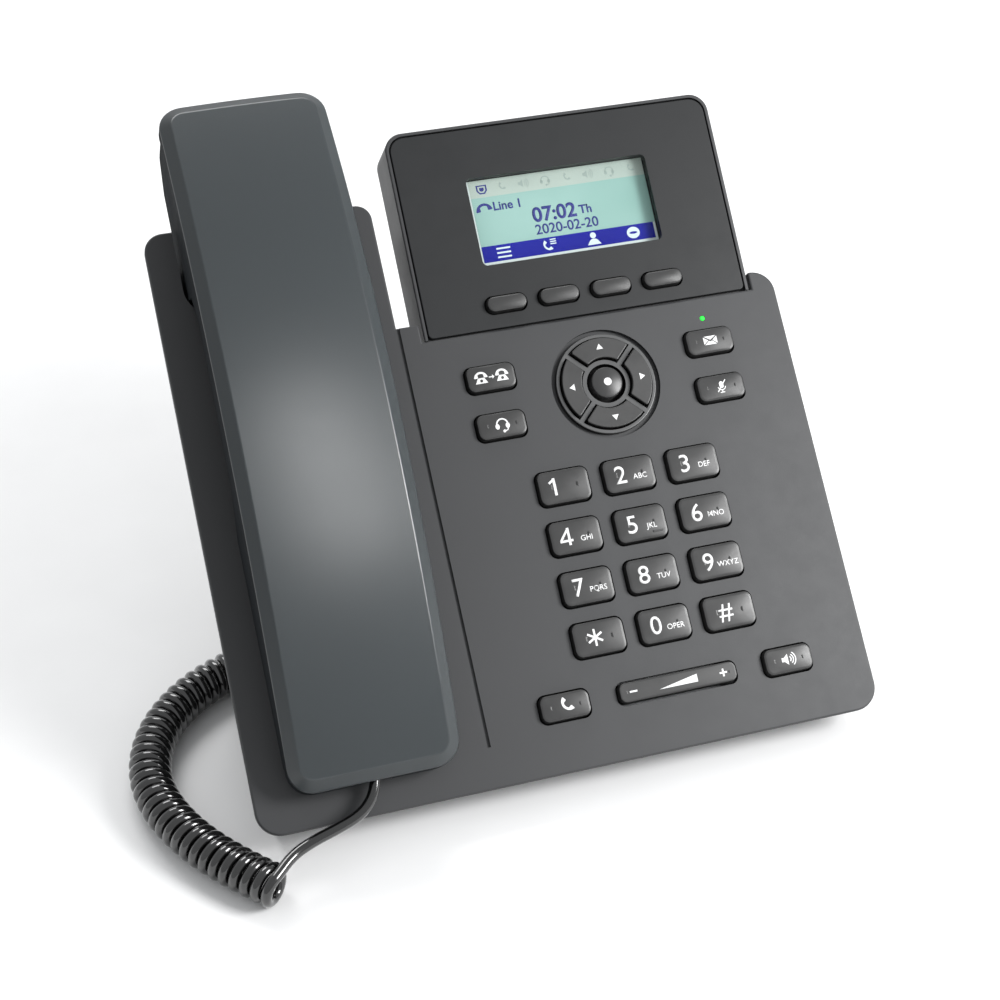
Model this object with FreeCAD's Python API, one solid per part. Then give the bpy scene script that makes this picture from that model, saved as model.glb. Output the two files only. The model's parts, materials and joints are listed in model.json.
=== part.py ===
import FreeCAD, Part
import math
import os

V = FreeCAD.Vector

# A desk phone. Most pieces are drawn in the face plate's own frame: u to the right, v up the slope
# from the plate's bottom edge, and w out of its front face. The screen frame is the same with a
# steeper tilt. Lengths are in millimetres.

# --- driving dimensions -------------------------------------------------------------------------
PLATE_WIDTH = 180.0
KEYPAD_TOP = 132.6            # top edge of the plate beside the screen
CRADLE_TOP = 170.5            # top edge of the plate under the handset
PLATE_THICKNESS = 2.5
PLATE_CORNER = 7.0
CRADLE_EDGE_U = -24.6
NOTCH_U = (-18.0, 82.8)       # the notch that the screen stands in
PLATE_SLOPE = 41.55           # degrees from the table
PLATE_BOTTOM_Z = 10.5         # height of the plate's bottom edge above the table
SCREEN_TILT = 3.0             # degrees steeper than the plate
SCREEN_FOOT = 127.5           # where the screen starts on the plate's slope
WALL = 2.0
FOOT_HEIGHT = 1.5

# keypad
KEYPAD_U = 32.3               # centre line of the keypad, screen and navigation cluster
COLUMN_PITCH = 19.5
ROW_PITCH = 14.67
FIRST_ROW_V = 78.95
NUMBER_KEY = (15.2, 9.8, 2.2)          # length, width, corner radius
FUNCTION_KEY = (14.4, 7.6, 2.2)
SOFT_KEY = (12.0, 4.7, 2.3)
ROCKER = (35.0, 5.8, 2.0)
KEY_HEIGHT = 1.9
KEY_EDGE = 0.45
KEY_GAP = 0.45
KEY_LIP = 0.9
LIP_TOP = -2.7
LIP_THICKNESS = 1.0
ROCKER_PIVOT_W = -3.9
ROCKER_PIN = 0.5              # radius
FUNCTION_U = 33.3             # side columns, from the keypad's centre line
FUNCTION_ROWS = (113.55, 99.4)
BOTTOM_ROW_V = 18.15
LIGHT_POSITION = (65.6, 121.0)
LIGHT_RADIUS = 0.75

# navigation cluster
NAV_V = 106.5
NAV_DISH = 16.2
NAV_DISH_DEPTH = 1.4
BEZEL_RADIUS = 14.9
ARROW_OUTER = 13.4
ARROW_INNER = 7.5
SLOT_MARGIN = 0.45
SPOKE = 1.3
SELECT_RADIUS = 4.6
SELECT_HOLE = 5.8

# screen tower
SCREEN_U = (-17.3, 82.1)
SCREEN_HEIGHT = 61.6
SCREEN_DEPTH = 18.0
PANEL_U = (-15.85, 80.65)
PANEL_A = (0.4, 60.2)
PANEL_CORNER = 4.4
PANEL_GAP = 0.4
WINDOW_U = (4.25, 59.3)
WINDOW_A = (19.0, 45.4)
SOFT_KEY_A = 7.15
SOFT_KEY_PITCH = 15.92

# cradle and handset
HANDSET_U = -57.1
HANDSET_WIDTH = 47.0
HANDSET_V = (8.8, 202.0)
HANDSET_CORNER = 7.0
CROWN_V = 110.0
CROWN_W = 30.0
CROWN_RADIUS = 280.0
COVER_HEIGHT = 9.0
BEVEL_SIDE = 3.2
BEVEL_DROP = 2.6
BLOCK_WIDTH = 46.6
MOUTH_WIDTH = 43.2
EAR_WELL_V = 145.0
MOUTH_WELL_V = (21.0, 92.0)
WELL_GAP = 0.9
WELL_CORNER = 8.0
EAR_FLOOR = -13.5
MOUTH_FLOOR = -10.5
WELL_WALL = 1.5
HOOK_V = 156.0
EAR_V = 170.0
MOUTH_V = 50.0
SCREW_V = (98.0, 134.0)       # the handset's two screws

# body
BODY_HALF_WIDTH = 85.0
BODY_BACK_W = -22.0
BODY_TOP_V = 163.0
KEYPAD_BODY_V = 126.9
BASE_FRONT_Y = 14.5
BASE_BACK_Y = 62.0
SCREW_PLACES = ((-57.1, 136.0), (-28.4, 72.0), (79.0, 72.0), (79.0, 119.0))
NETWORK_JACKS_X = (2.0, 22.0)
HANDSET_JACK_X = -44.0
HEADSET_JACK_X = -24.0
NETWORK_JACK_Z = 20.0
HANDSET_JACK_Z = 13.0
STAND_HALF_WIDTH = 60.0
STAND_WINDOW = (72.0, 24.0)   # the cable window, width and height
STAND_WINDOW_Z = 22.0

# cord
CORD_DIAMETER = 3.1
COIL_DIAMETER = 12.0
PLUG_W = 4.6                  # height of the handset's plug above the plate
PLUG_FACE_V = 13.5            # the plug's cord end, inside the handset's lower end
PLUG_SIZE = (7.4, 4.8)
LEAD_ROUTE = (
    (-59.3, 0.1, 16.8),
    (-63.2, -2.5, 14.7),
    (-69.4, -4.2, 13.4),
    (-76.6, -5.8, 12.4),
    (-83.0, -8.3, 11.4),
    (-88.1, -12.6, 10.4),
)
COIL_ROUTE = (
    (-86.6, -14.9, 6.0),
    (-97.4, -4.1, 6.0),
    (-109.6, 14.0, 6.0),
    (-115.2, 33.4, 6.0),
    (-110.9, 52.2, 6.0),
    (-98.0, 67.2, 6.0),
    (-80.0, 75.8, 6.0),
    (-62.0, 79.0, 6.0),
)
BASE_LEAD_ROUTE = (
    (-62.0, 79.0, 6.0),
    (-54.0, 80.4, 6.8),
    (-47.4, 78.2, 9.4),
    (-44.0, 72.5, 13.0),
    (-44.0, 65.0, 13.0),
)

TINY = 1e-4
PLATE = FreeCAD.Placement(V(0, 0, PLATE_BOTTOM_Z), FreeCAD.Rotation(V(1, 0, 0), PLATE_SLOPE))
SCREEN = PLATE.multiply(
    FreeCAD.Placement(V(0, SCREEN_FOOT, 0), FreeCAD.Rotation(V(1, 0, 0), SCREEN_TILT)))


# --- helpers ------------------------------------------------------------------------------------
def placed(shape, placement):
    copy = shape.copy()
    copy.Placement = placement.multiply(copy.Placement)
    return copy


def block(x, y, z, corner=0.0):
    """A block between pairs of limits, with its upright edges rounded."""
    solid = Part.makeBox(x[1] - x[0], y[1] - y[0], z[1] - z[0], V(x[0], y[0], z[0]))
    if corner <= 0:
        return solid
    upright = [e for e in solid.Edges if abs(e.Vertexes[0].Z - e.Vertexes[1].Z) > TINY]
    return solid.makeFillet(corner, upright)


def centred(size, at, z, grow=0.0):
    """A rounded block of a key's size about a point."""
    length, width, corner = size
    x = (at[0] - length / 2 - grow, at[0] + length / 2 + grow)
    y = (at[1] - width / 2 - grow, at[1] + width / 2 + grow)
    return block(x, y, z, corner + max(grow, 0.0) * 0.5)


def cylinder(radius, at, z):
    return Part.makeCylinder(radius, z[1] - z[0], V(at[0], at[1], z[0]))


def outline_block(corners, z):
    """A flat block whose outline is a list of corners, each with its own radius."""
    points = [V(x, y, z[0]) for x, y, radius in corners]
    edges = []
    tangents = []
    for index, (x, y, radius) in enumerate(corners):
        at = points[index]
        into = (at - points[index - 1]).normalize()
        out = (points[(index + 1) % len(points)] - at).normalize()
        reach = radius * math.tan(into.getAngle(out) / 2)
        first = at - into * reach
        last = at + out * reach
        tangents.append((first, last))
        if radius > 0:
            inward = (out - into).normalize()
            middle = at + inward * (radius * (math.sqrt(2) - 1))
            edges.append(Part.Arc(first, middle, last).toShape())
    for index, (first, last) in enumerate(tangents):
        edges.append(Part.LineSegment(last, tangents[(index + 1) % len(tangents)][0]).toShape())
    face = Part.Face(Part.Wire(Part.__sortEdges__(edges)))
    return face.extrude(V(0, 0, z[1] - z[0]))


def edges_at(shape, z):
    return [e for e in shape.Edges if all(abs(v.Z - z) < TINY for v in e.Vertexes)]


def prism_yz(points, x):
    """A polygon of (y, z) points drawn out along X."""
    wire = Part.makePolygon([V(x[0], p[0], p[1]) for p in points] + [V(x[0], *points[0])])
    return Part.Face(wire).extrude(V(x[1] - x[0], 0, 0))


def plate_to_yz(v, w):
    point = PLATE.multVec(V(0, v, w))
    return (point.y, point.z)


def joined(shapes):
    solid = shapes[0]
    for other in shapes[1:]:
        solid = solid.fuse(other)
    return solid.removeSplitter()


def without(solid, tools):
    for tool in tools:
        solid = solid.cut(tool)
    return solid


# --- keys ---------------------------------------------------------------------------------------
def key(size, at, lip_top=LIP_TOP):
    """A key cap with a rounded top edge and a lip that stops under the plate."""
    cap = centred(size, at, (lip_top, KEY_HEIGHT))
    cap = cap.makeFillet(KEY_EDGE, edges_at(cap, KEY_HEIGHT))
    lip = centred(size, at, (lip_top - LIP_THICKNESS, lip_top), KEY_LIP)
    return joined([cap, lip])


def number_keys():
    names = ("1", "2", "3", "4", "5", "6", "7", "8", "9", "star", "0", "hash")
    keys = {}
    for index, name in enumerate(names):
        row, column = divmod(index, 3)
        at = (KEYPAD_U + (column - 1) * COLUMN_PITCH, FIRST_ROW_V - row * ROW_PITCH)
        keys["key_" + name] = (NUMBER_KEY, at)
    return keys


def function_keys():
    left = KEYPAD_U - FUNCTION_U
    right = KEYPAD_U + FUNCTION_U
    places = {
        "transfer_key": (left, FUNCTION_ROWS[0]),
        "headset_key": (left, FUNCTION_ROWS[1]),
        "message_key": (right, FUNCTION_ROWS[0]),
        "mute_key": (right, FUNCTION_ROWS[1]),
        "send_key": (left, BOTTOM_ROW_V),
        "speaker_key": (right, BOTTOM_ROW_V),
    }
    return {name: (FUNCTION_KEY, at) for name, at in places.items()}


def soft_keys():
    keys = {}
    for index in range(4):
        at = (KEYPAD_U + (index - 1.5) * SOFT_KEY_PITCH, SOFT_KEY_A)
        keys["soft_key_" + str(index + 1)] = (SOFT_KEY, at)
    return keys


def volume_rocker():
    at = (KEYPAD_U, BOTTOM_ROW_V)
    cap = centred(ROCKER, at, (-3.5, KEY_HEIGHT))
    cap = cap.makeFillet(KEY_EDGE, edges_at(cap, KEY_HEIGHT))
    lip = centred(ROCKER, at, (-4.4, -3.5), KEY_LIP)
    return joined([cap, lip, rocker_axle(ROCKER_PIN, 5.5)])


def rocker_axle(radius, reach):
    """A rod along the rocker's pivot, reaching this far each side of its centre line."""
    start = V(KEYPAD_U, BOTTOM_ROW_V - reach, ROCKER_PIVOT_W)
    return Part.makeCylinder(radius, 2 * reach, start, V(0, 1, 0))


def rocker_bearings():
    """Two cheeks under the plate that hold the rocker's pins."""
    cheeks = [block((KEYPAD_U - 2.0, KEYPAD_U + 2.0), sorted((near, near + side * 1.4)),
                    (-5.4, -PLATE_THICKNESS + 0.3))
              for side in (-1, 1) for near in (BOTTOM_ROW_V + side * 4.3,)]
    return joined(cheeks).cut(rocker_axle(ROCKER_PIN + 0.3, 10))


def ring_sector(outer, inner, gap, z):
    """A quarter of a ring above the origin, between two diagonal spokes."""
    def corner(radius):
        along = math.sqrt(radius ** 2 - (gap / 2) ** 2)
        return (along - gap / 2) * math.sqrt(0.5), (along + gap / 2) * math.sqrt(0.5)

    (outer_x, outer_y), (inner_x, inner_y) = corner(outer), corner(inner)
    right_out, left_out = V(outer_x, outer_y, z[0]), V(-outer_x, outer_y, z[0])
    right_in, left_in = V(inner_x, inner_y, z[0]), V(-inner_x, inner_y, z[0])
    outline = Part.Wire([
        Part.Arc(right_out, V(0, outer, z[0]), left_out).toShape(),
        Part.LineSegment(left_out, left_in).toShape(),
        Part.Arc(left_in, V(0, inner, z[0]), right_in).toShape(),
        Part.LineSegment(right_in, right_out).toShape(),
    ])
    return Part.Face(outline).extrude(V(0, 0, z[1] - z[0]))


def around_cluster(shape):
    """The shape's four places around the navigation cluster, by direction."""
    places = {}
    for name, angle in (("up", 0), ("left", 90), ("down", 180), ("right", 270)):
        turned = shape.copy()
        turned.rotate(V(0, 0, 0), V(0, 0, 1), angle)
        turned.translate(V(KEYPAD_U, NAV_V, 0))
        places[name] = turned
    return places


def arrow_keys():
    cap = ring_sector(ARROW_OUTER, ARROW_INNER, SPOKE + 2 * SLOT_MARGIN, (-3.6, KEY_HEIGHT - 0.3))
    cap = cap.makeFillet(0.6, [e for e in cap.Edges if e.BoundBox.ZLength > 1])
    cap = cap.makeFillet(0.3, edges_at(cap, KEY_HEIGHT - 0.3))
    lip = ring_sector(BEZEL_RADIUS - 0.8, ARROW_INNER - 0.8, 0.5, (-4.4, -3.6))
    places = around_cluster(joined([cap, lip]))
    return {"arrow_key_" + name: shape for name, shape in places.items()}


def select_key():
    centre = (KEYPAD_U, NAV_V)
    cap = cylinder(SELECT_RADIUS, centre, (-3.6, KEY_HEIGHT - 0.3))
    cap = cap.makeFillet(1.0, edges_at(cap, KEY_HEIGHT - 0.3))
    return joined([cap, cylinder(SELECT_HOLE + 0.5, centre, (-4.4, -3.6))])


def navigation_bezel():
    centre = (KEYPAD_U, NAV_V)
    body = joined([
        cylinder(BEZEL_RADIUS, centre, (-NAV_DISH_DEPTH, 0.2)),
        cylinder(BEZEL_RADIUS - 0.8, centre, (-3.3, -NAV_DISH_DEPTH)),
    ])
    body = body.makeFillet(0.4, edges_at(body, 0.2))
    slot = ring_sector(ARROW_OUTER + SLOT_MARGIN, ARROW_INNER - SLOT_MARGIN, SPOKE, (-5, 2))
    openings = [cylinder(SELECT_HOLE, centre, (-5, 2))] + list(around_cluster(slot).values())
    return without(body, openings)


# --- front housing ------------------------------------------------------------------------------
def plate_outline(z):
    """The plate without its openings: a keypad half, a taller cradle half and the screen's notch."""
    half = PLATE_WIDTH / 2
    notch = SCREEN_FOOT - 0.15
    return outline_block([
        (-half, 0, PLATE_CORNER), (half, 0, PLATE_CORNER), (half, KEYPAD_TOP, 6.5),
        (NOTCH_U[1], KEYPAD_TOP, 0.5), (NOTCH_U[1], notch, 0), (NOTCH_U[0], notch, 0),
        (NOTCH_U[0], KEYPAD_TOP, 0.5), (CRADLE_EDGE_U, KEYPAD_TOP, 0),
        (CRADLE_EDGE_U, CRADLE_TOP, 4.5), (-half, CRADLE_TOP, 5.5),
    ], z)


def well_limits(width, gap=0.0):
    return (HANDSET_U - width / 2 - gap, HANDSET_U + width / 2 + gap)


def well(u, v, floor, corner):
    """The inside of a cradle well."""
    return block(u, v, (floor, 5.0), corner)


def well_casing(u, v, floor, corner):
    u = (u[0] - WELL_WALL, u[1] + WELL_WALL)
    v = (v[0] - WELL_WALL, v[1] + WELL_WALL)
    return block(u, v, (floor - WELL_WALL, -PLATE_THICKNESS + 0.5), corner + WELL_WALL)


def front_housing():
    plate = plate_outline((-PLATE_THICKNESS, 0))
    plate = plate.makeFillet(0.6, edges_at(plate, 0))
    ear_u = well_limits(HANDSET_WIDTH, WELL_GAP)
    mouth_u = well_limits(MOUTH_WIDTH, 0.8)
    ear_v = (EAR_WELL_V, CRADLE_TOP + 20)
    below_top = block((-90, 0), (0, BODY_TOP_V - WALL), (-30, 5))
    ear_casing = well_casing(ear_u, ear_v, EAR_FLOOR, WELL_CORNER).common(below_top)
    mouth_casing = well_casing(mouth_u, MOUTH_WELL_V, MOUTH_FLOOR, WELL_CORNER)
    bosses = [cylinder(3.2, at, (-18.5, -PLATE_THICKNESS + 0.5)) for at in SCREW_PLACES]
    body = joined([plate, ear_casing, mouth_casing, rocker_bearings()] + bosses)

    openings = [
        well(ear_u, ear_v, EAR_FLOOR, WELL_CORNER),
        well(mouth_u, MOUTH_WELL_V, MOUTH_FLOOR, WELL_CORNER),
        block((CRADLE_EDGE_U, CRADLE_EDGE_U + 0.9), (11.5, KEYPAD_TOP + 1), (-0.8, 1)),
        cylinder(NAV_DISH, (KEYPAD_U, NAV_V), (-NAV_DISH_DEPTH, 1)),
        cylinder(BEZEL_RADIUS - 0.75, (KEYPAD_U, NAV_V), (-5, 1)),
        cylinder(LIGHT_RADIUS + 0.05, LIGHT_POSITION, (-5, 1)),
        centred((7.0, 5.0, 1.0), (HANDSET_U, HOOK_V), (-20, 0)),
    ]
    for size, at in list(number_keys().values()) + list(function_keys().values()):
        openings.append(centred(size, at, (-5, 2), KEY_GAP))
    openings.append(centred(ROCKER, (KEYPAD_U, BOTTOM_ROW_V), (-5, 2), KEY_GAP + 0.1))
    for index in range(5):
        slot_v = 103.0 + index * 4.0
        openings.append(centred((24.0, 1.4, 0.69), (HANDSET_U, slot_v), (-5, 2)))
    openings += [cylinder(1.25, at, (-18.6, -8)) for at in SCREW_PLACES]
    return without(body, openings)


# --- rear housing, stand and base ---------------------------------------------------------------
def body_profile(top_v, inset=0.0):
    """The body's outline from the side, with a flat base and an upright back for the jacks."""
    front = plate_to_yz(1.5 + inset, -PLATE_THICKNESS + inset * 2)
    rear_low = BASE_BACK_Y - inset
    back_w = BODY_BACK_W + inset
    slope = math.tan(math.radians(PLATE_SLOPE))
    at_zero = plate_to_yz(0, back_w)
    rear_high = (rear_low, at_zero[1] + slope * (rear_low - at_zero[0]))
    base = FOOT_HEIGHT + inset
    top_v = top_v - inset
    return [front, (BASE_FRONT_Y + inset, base), (rear_low, base), rear_high,
            plate_to_yz(top_v, back_w), plate_to_yz(top_v, -PLATE_THICKNESS + inset * 2)]


def rear_housing():
    left = -BODY_HALF_WIDTH
    step = -25.5
    outer = joined([
        prism_yz(body_profile(BODY_TOP_V), (left, step)),
        prism_yz(body_profile(KEYPAD_BODY_V), (step, BODY_HALF_WIDTH)),
    ])
    inner = joined([
        prism_yz(body_profile(BODY_TOP_V, WALL), (left + WALL, step - WALL)),
        prism_yz(body_profile(KEYPAD_BODY_V, WALL), (left + WALL, BODY_HALF_WIDTH - WALL)),
    ])
    shell = outer.cut(inner)
    ear_u = well_limits(HANDSET_WIDTH, WELL_GAP + WELL_WALL + 0.2)
    ear_v = (EAR_WELL_V, CRADLE_TOP + 20)
    ear_way = block(ear_u, ear_v, (EAR_FLOOR - WELL_WALL - 0.2, 5))
    tools = [placed(ear_way, PLATE)]
    for at in SCREW_PLACES:
        tools.append(placed(cylinder(1.7, at, (-30, -15)), PLATE))
        tools.append(placed(cylinder(3.3, at, (-30, BODY_BACK_W + 0.9)), PLATE))
    for x in NETWORK_JACKS_X:
        tools.append(jack_window(x, NETWORK_JACK_Z, (17.0, 14.0)))
    for x in (HANDSET_JACK_X, HEADSET_JACK_X):
        tools.append(jack_window(x, HANDSET_JACK_Z, (12.0, 11.0)))
    for row in range(4):
        for column in range(-2, 3):
            slot = centred((14.0, 1.6, 0.79), (HANDSET_U + 57 + column * 20, 98.0 + row * 5), (-30, -15))
            tools.append(placed(slot, PLATE))
    return without(shell, tools)


def jack_window(x, z, size):
    width, height = size
    return block((x - width / 2, x + width / 2), (BASE_BACK_Y - WALL - 1, BASE_BACK_Y + 1),
                 (z - height / 2, z + height / 2))


def jack(x, z, outer, cavity, depth):
    """A modular jack that opens backwards, with the notch for the plug's latch below."""
    width, height = outer
    face = BASE_BACK_Y - 0.3
    body = block((x - width / 2, x + width / 2), (face - depth - 3, face),
                 (z - height / 2, z + height / 2))
    mouth = block((x - cavity[0] / 2, x + cavity[0] / 2), (face - depth, face + 1),
                  (z - cavity[1] / 2, z + cavity[1] / 2))
    latch = block((x - cavity[0] / 4, x + cavity[0] / 4), (face - depth, face + 1),
                  (z - cavity[1] / 2 - 1.8, z))
    return body.cut(mouth).cut(latch)


def network_jacks():
    jacks = [jack(x, NETWORK_JACK_Z, (16.4, 13.4), (11.8, 7.4), 12.5) for x in NETWORK_JACKS_X]
    return Part.makeCompound(jacks)


def handset_jacks():
    places = (HANDSET_JACK_X, HEADSET_JACK_X)
    return Part.makeCompound([jack(x, HANDSET_JACK_Z, (11.4, 10.4), (7.8, 5.6), 11.0) for x in places])


def foot_stand():
    """A leaning panel from the body's back to the table, with a wider foot."""
    top_low = plate_to_yz(105.5, BODY_BACK_W)
    top_high = plate_to_yz(111.0, BODY_BACK_W)
    panel = [top_low, top_high, (127.5, FOOT_HEIGHT + 3.5), (127.5, FOOT_HEIGHT),
             (118.0, FOOT_HEIGHT), (118.0, FOOT_HEIGHT + 3.5)]
    stand = prism_yz(panel, (-STAND_HALF_WIDTH, STAND_HALF_WIDTH))
    ends = [e for e in stand.Edges if abs(e.Vertexes[0].X - e.Vertexes[1].X) < TINY]
    outer = [e for e in ends if e.Length > 20]
    stand = stand.makeFillet(1.2, outer)
    window = Part.makeBox(STAND_WINDOW[0], 60, STAND_WINDOW[1],
                          V(-STAND_WINDOW[0] / 2, 85, STAND_WINDOW_Z))
    corners = [e for e in window.Edges if e.BoundBox.YLength > 1]
    return stand.cut(window.makeFillet(6.0, corners))


def rubber_feet():
    z = (0.0, FOOT_HEIGHT)
    pads = []
    for side in (-1, 1):
        pads.append(block((side * 66 - 11, side * 66 + 11), (17.5, 25.5), z, 3.0))
        pads.append(block((side * 45 - 11, side * 45 + 11), (119.5, 126.5), z, 3.0))
    return Part.makeCompound(pads)


def housing_screws():
    screws = []
    for at in SCREW_PLACES:
        head = cylinder(3.0, at, (BODY_BACK_W - 0.6, BODY_BACK_W + 0.9))
        cross = [block((at[0] - a, at[0] + a), (at[1] - b, at[1] + b), (BODY_BACK_W - 1, BODY_BACK_W))
                 for a, b in ((1.5, 0.3), (0.3, 1.5))]
        shank = cylinder(1.25, at, (BODY_BACK_W + 0.9, -9.0))
        screws.append(without(joined([head, shank]), cross))
    return Part.makeCompound([placed(screw, PLATE) for screw in screws])


def main_board():
    board = block((-21.5, 74.0), (10.0, 123.0), (-9.5, -7.9), 1.5)
    chips = [
        block((8, 20), (55, 67), (-10.7, -9.5)),
        block((30, 38), (58, 66), (-10.5, -9.5)),
        block((48, 62), (28, 34), (-12.5, -9.5)),
    ]
    return joined([board] + chips)


def key_membrane():
    return block((-9.5, 73.5), (12.0, 121.5), (-6.6, -5.7), 2.0)


def message_light():
    pipe = cylinder(LIGHT_RADIUS, LIGHT_POSITION, (-5.4, 0.15))
    return pipe.makeFillet(0.3, edges_at(pipe, 0.15))


def loudspeaker():
    centre = (HANDSET_U, 111.0)
    rim = cylinder(15.0, centre, (-6.0, -3.0))
    magnet = cylinder(9.0, centre, (-13.0, -6.0))
    return joined([rim, magnet])


def base_microphone():
    return cylinder(3.0, (81.5 - 4.0, 12.0), (-6.0, -PLATE_THICKNESS - 0.1))


def hook_switch():
    plunger = centred((6.4, 4.4, 0.8), (HANDSET_U, HOOK_V), (-17.2, -12.15))
    plunger = plunger.makeFillet(0.6, edges_at(plunger, -12.15))
    lip = centred((9.0, 7.0, 0.8), (HANDSET_U, HOOK_V), (-19.2, -18.2))
    stem = centred((6.4, 4.4, 0.8), (HANDSET_U, HOOK_V), (-18.2, -17.2))
    return joined([plunger, stem, lip])


# --- screen -------------------------------------------------------------------------------------
def rounded_top(x, y, z, corner):
    """A block whose two upper corners are rounded more than its lower ones."""
    solid = Part.makeBox(x[1] - x[0], y[1] - y[0], z[1] - z[0], V(x[0], y[0], z[0]))
    upright = [e for e in solid.Edges if abs(e.Vertexes[0].Z - e.Vertexes[1].Z) > TINY]
    upper = [e for e in upright if e.Vertexes[0].Y > (y[0] + y[1]) / 2]
    return solid.makeFillet(corner, upper)


def screen_housing():
    body = rounded_top(SCREEN_U, (0, SCREEN_HEIGHT), (-SCREEN_DEPTH, 0), PANEL_CORNER + 1.1)
    body = body.makeFillet(0.5, [e for e in edges_at(body, 0) if e.CenterOfMass.y > 1])
    body = body.makeFillet(1.5, [e for e in edges_at(body, -SCREEN_DEPTH) if e.CenterOfMass.y > 1])
    pocket = rounded_top((PANEL_U[0] - PANEL_GAP, PANEL_U[1] + PANEL_GAP),
                         (-5, PANEL_A[1] + PANEL_GAP), (-2.4, 2), PANEL_CORNER + 0.3)
    inside = rounded_top((SCREEN_U[0] + WALL, SCREEN_U[1] - WALL), (WALL, SCREEN_HEIGHT - WALL),
                         (-SCREEN_DEPTH + WALL, 0), PANEL_CORNER - 1)
    middle = sum(SCREEN_U) / 2
    vents = [centred((30.0, 1.6, 0.79), (middle, 34.0 + row * 5), (-SCREEN_DEPTH - 1, -10))
             for row in range(4)]
    return without(body, [pocket, inside] + vents)


def screen_panel():
    panel = rounded_top(PANEL_U, PANEL_A, (-2.3, -0.1), PANEL_CORNER)
    feet = [e for e in panel.Edges if e.BoundBox.ZLength > 1 and e.CenterOfMass.y < 1]
    panel = panel.makeFillet(1.4, feet)
    panel = panel.makeFillet(0.25, edges_at(panel, -0.1))
    tools = [block(WINDOW_U, WINDOW_A, (-5, 2), 1.6)]
    tools += [centred(size, at, (-5, 2), KEY_GAP) for size, at in soft_keys().values()]
    return without(panel, tools)


def display_window():
    return block((WINDOW_U[0] - 1.5, WINDOW_U[1] + 1.5), (WINDOW_A[0] - 1.5, WINDOW_A[1] + 1.5),
                 (-3.2, -2.35), 1.0)


def display_module():
    return block((WINDOW_U[0] - 2.5, WINDOW_U[1] + 2.5), (WINDOW_A[0] - 3, WINDOW_A[1] + 2.5),
                 (-8.6, -4.3), 0.8)


# --- handset ------------------------------------------------------------------------------------
def crown_height(v, drop=0.0):
    """Height of the handset's arched top over the plate, or of a line parallel to it."""
    radius = CROWN_RADIUS - drop
    return CROWN_W - CROWN_RADIUS + math.sqrt(radius ** 2 - (v - CROWN_V) ** 2)


def crown_arc(v, drop):
    points = [V(0, at, crown_height(at, drop)) for at in (v[0], CROWN_V, v[1])]
    return Part.Arc(*points).toShape()


def arched_slab(v, drops, half_width):
    """The space between two arcs parallel to the crown, rounded at its corners."""
    upper = crown_arc(v, drops[0])
    lower = crown_arc(v, drops[1])
    ends = []
    for at in v:
        pair = [V(0, at, crown_height(at, drop)) for drop in drops]
        ends.append(Part.LineSegment(*pair).toShape())
    face = Part.Face(Part.Wire(Part.__sortEdges__([upper, lower] + ends)))
    face.translate(V(HANDSET_U - half_width, 0, 0))
    return face.extrude(V(2 * half_width, 0, 0))


def rounded_plan(v, half_width, corner):
    return block((HANDSET_U - half_width, HANDSET_U + half_width), v, (-40, 60), corner)


def bevelled_cover():
    half = HANDSET_WIDTH / 2
    solid = arched_slab(HANDSET_V, (0.0, COVER_HEIGHT), half)
    solid = solid.common(rounded_plan(HANDSET_V, half, HANDSET_CORNER))
    crown = max(solid.Faces, key=lambda f: f.CenterOfMass.z)
    return solid.makeChamfer(BEVEL_DROP, BEVEL_SIDE, crown.Edges)


def handset_cover():
    half = HANDSET_WIDTH / 2 - WALL
    v = (HANDSET_V[0] + WALL, HANDSET_V[1] - WALL)
    inside = arched_slab(v, (BEVEL_DROP + WALL - 0.6, COVER_HEIGHT + 2), half)
    inside = inside.common(rounded_plan(v, half, HANDSET_CORNER - WALL))
    posts = [cylinder(3.0, (HANDSET_U, at), (17.5, crown_height(at) - 3)) for at in SCREW_V]
    body = joined([bevelled_cover().cut(inside)] + posts)
    plug_way = block((HANDSET_U - 4.3, HANDSET_U + 4.3), (0, 14), (-5, PLUG_W + 2.7))
    return without(body, [plug_way] + [cylinder(1.1, (HANDSET_U, at), (10, 23)) for at in SCREW_V])


UNDERSIDE = (
    (12.0, 0.9), (27.0, 0.9), (31.0, -9.0), (68.0, -9.0), (83.0, 3.0), (93.0, 11.5),
    (140.0, 13.0), (148.5, 7.0), (152.5, -12.0), (186.0, -12.0), (199.5, 1.0),
)
INSIDE = (
    (14.0, 1.9), (28.0, 1.9), (32.5, -7.0), (67.3, -7.0), (81.8, 4.6), (92.2, 13.5),
    (140.6, 15.0), (150.3, 8.2), (154.2, -10.0), (185.0, -10.0), (197.3, 1.6),
)


def underside_block(points, drop, half_width):
    """The space between an underside's outline and an arc parallel to the crown."""
    v = (points[0][0], points[-1][0])
    corners = [V(0, at, w) for at, w in points]
    top = [V(0, v[1], crown_height(v[1], drop)), V(0, v[0], crown_height(v[0], drop))]
    edges = [Part.LineSegment(a, b).toShape() for a, b in zip(corners, corners[1:])]
    edges.append(Part.LineSegment(corners[-1], top[0]).toShape())
    edges.append(crown_arc(v, drop))
    edges.append(Part.LineSegment(top[1], corners[0]).toShape())
    face = Part.Face(Part.Wire(Part.__sortEdges__(edges)))
    face.translate(V(HANDSET_U - half_width, 0, 0))
    return face.extrude(V(2 * half_width, 0, 0))


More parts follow.
